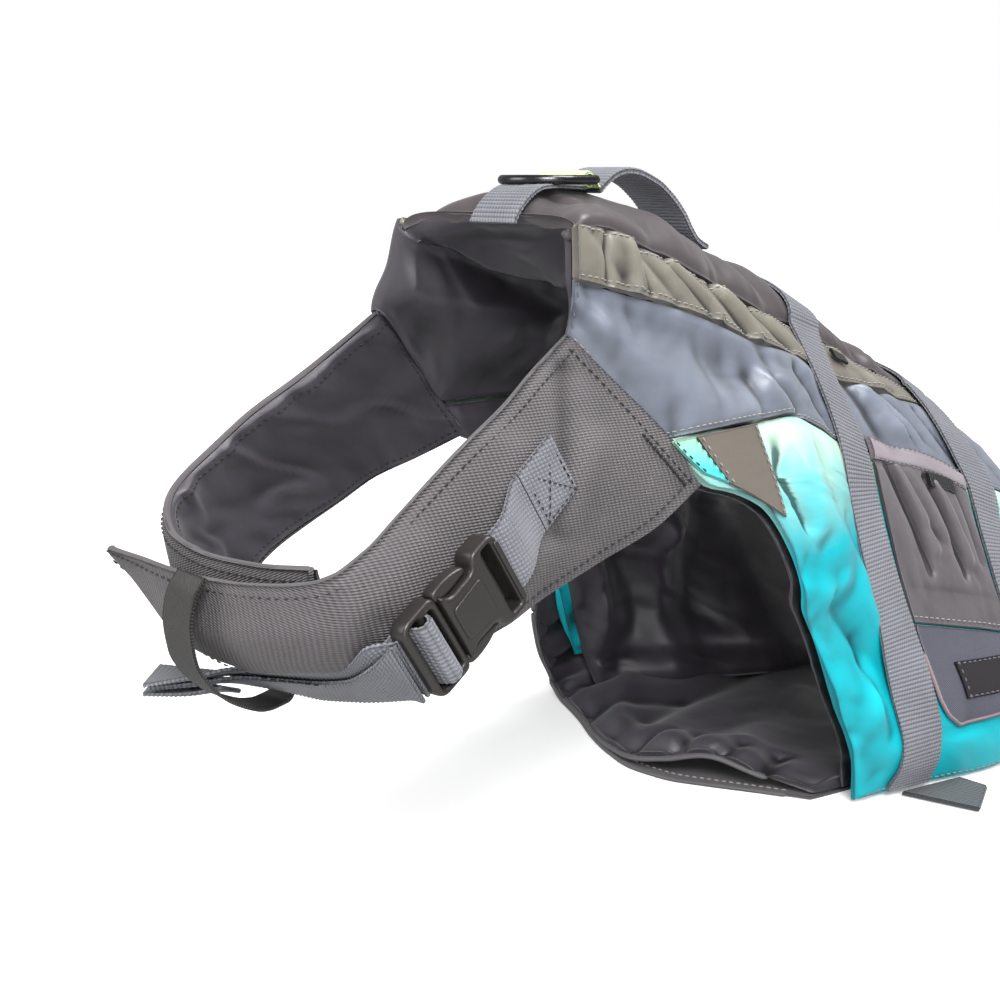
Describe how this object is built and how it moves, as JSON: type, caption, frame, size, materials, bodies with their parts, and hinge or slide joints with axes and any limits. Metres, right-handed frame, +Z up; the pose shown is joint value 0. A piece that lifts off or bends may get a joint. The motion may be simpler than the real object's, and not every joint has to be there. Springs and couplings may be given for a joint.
{
  "type": "dog life jacket",
  "caption": "Padded dog life jacket, filled out as if worn, with a clipped neck band, back handle, lead ring, body straps and side pocket.",
  "frame": {"origin": "on the surface the jacket rests on, under the middle of the belly panel, on the centre line of the spine", "axes": "+X along the spine from neck to tail, +Y towards the right side of the worn jacket, +Z up; the neck band reaches forward along -X"},
  "size_m": [0.4842, 0.2354, 0.2831],
  "materials": {
    "pad_cloth": "puffy coated polyester, charcoal brown",
    "strip_cloth": "khaki reflective cloth",
    "yoke_cloth": "grey blue ripstop",
    "wing_cloth": "teal ripstop shaded from mint",
    "satin": "dark satin lining",
    "belly_cloth": "dark belly cover",
    "oxford": "coarse oxford weave",
    "webbing": "grey ribbed webbing",
    "tail_webbing": "dark grey strap end",
    "elastic": "dark woven elastic",
    "taupe_print": "taupe cloth",
    "mint_print": "mint cloth",
    "binding_cloth": "mauve grey binding",
    "pouch_cloth": "grey pocket cloth",
    "slate_cloth": "slate cloth",
    "label_cloth": "black soft patch, left bare",
    "pull_tape": "black tape",
    "buckle_plastic": "black moulded plastic",
    "lime_tape": "pale lime tape",
    "ring_metal": "gunmetal"
  },
  "bodies": {
    "jacket": {"spine_pad": "pad_cloth", "strip_left": "strip_cloth", "strip_right": "strip_cloth", "yoke_left": "yoke_cloth", "yoke_right": "yoke_cloth", "wing_left": "wing_cloth", "wing_right": "wing_cloth", "lining_back": "satin", "lining_left": "satin", "lining_right": "satin", "belly_pad": "satin", "band_lining_left": "satin", "band_lining_right": "satin", "belly_cover": "belly_cloth", "neck_band_left": "oxford", "neck_band_right": "oxford", "chest_webbing": "webbing", "chest_tab": "webbing", "webbing_sewn_end": "webbing", "webbing_lead": "webbing", "strap_front": "webbing", "strap_rear": "webbing", "handle": "webbing", "front_webbing": "webbing", "strap_tail": "tail_webbing", "keeper": "elastic", "patch_taupe_left": "taupe_print", "patch_taupe_right": "taupe_print", "patch_mint_left": "mint_print", "patch_mint_right": "mint_print", "pocket_binding": "binding_cloth", "pocket_pouch": "pouch_cloth", "pocket_lower_panel": "slate_cloth", "label_patch": "label_cloth", "pocket_tab": "pull_tape", "buckle_female": "buckle_plastic", "buckle_male": "buckle_plastic", "ring_loop": "lime_tape"},
    "lead_ring": {"d_ring": "ring_metal"}
  },
  "joints": [
    {"name": "ring_hinge", "type": "hinge", "parent": "jacket", "child": "lead_ring", "pos_m": [-0.159, 0, 0.2782], "axis": [0, 1, 0], "range_deg": [0, 110]}
  ]
}
